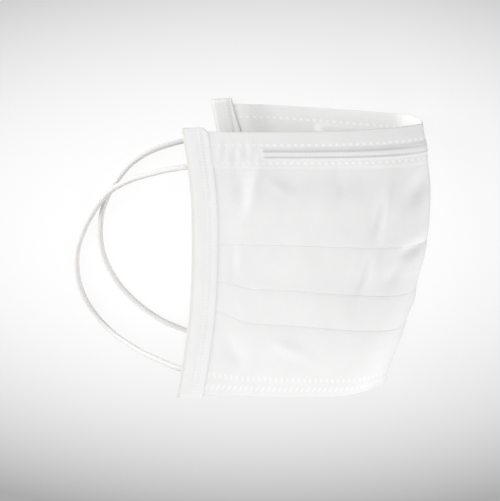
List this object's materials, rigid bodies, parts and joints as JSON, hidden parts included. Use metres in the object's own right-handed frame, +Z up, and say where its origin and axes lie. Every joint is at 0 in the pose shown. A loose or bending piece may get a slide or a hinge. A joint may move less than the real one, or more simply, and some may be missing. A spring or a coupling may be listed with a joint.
{
  "type": "surgical face mask",
  "caption": "Pleated non-woven face mask with side bands, a nose wire and round elastic ear loops, opened a little and lying on its side.",
  "frame": {"origin": "under the middle of the mask without its loops, on the surface that it lies on", "axes": "+X from the ear edges to the nose fold, +Y from the chin hem to the bridge hem, +Z up from the surface"},
  "size_m": [0.1348, 0.0964, 0.051],
  "materials": {
    "cloth": "matt white point-bonded non-woven cloth",
    "band": "matt white non-woven tape, welded",
    "wire": "white plastic strip over two thin metal cores",
    "elastic": "soft round knitted elastic"
  },
  "bodies": {
    "root": {"mask_body": "cloth", "side_band_near": "band", "side_band_far": "band", "nose_wire": "wire", "ear_loop_near": "elastic", "ear_loop_far": "elastic"}
  },
  "joints": []
}
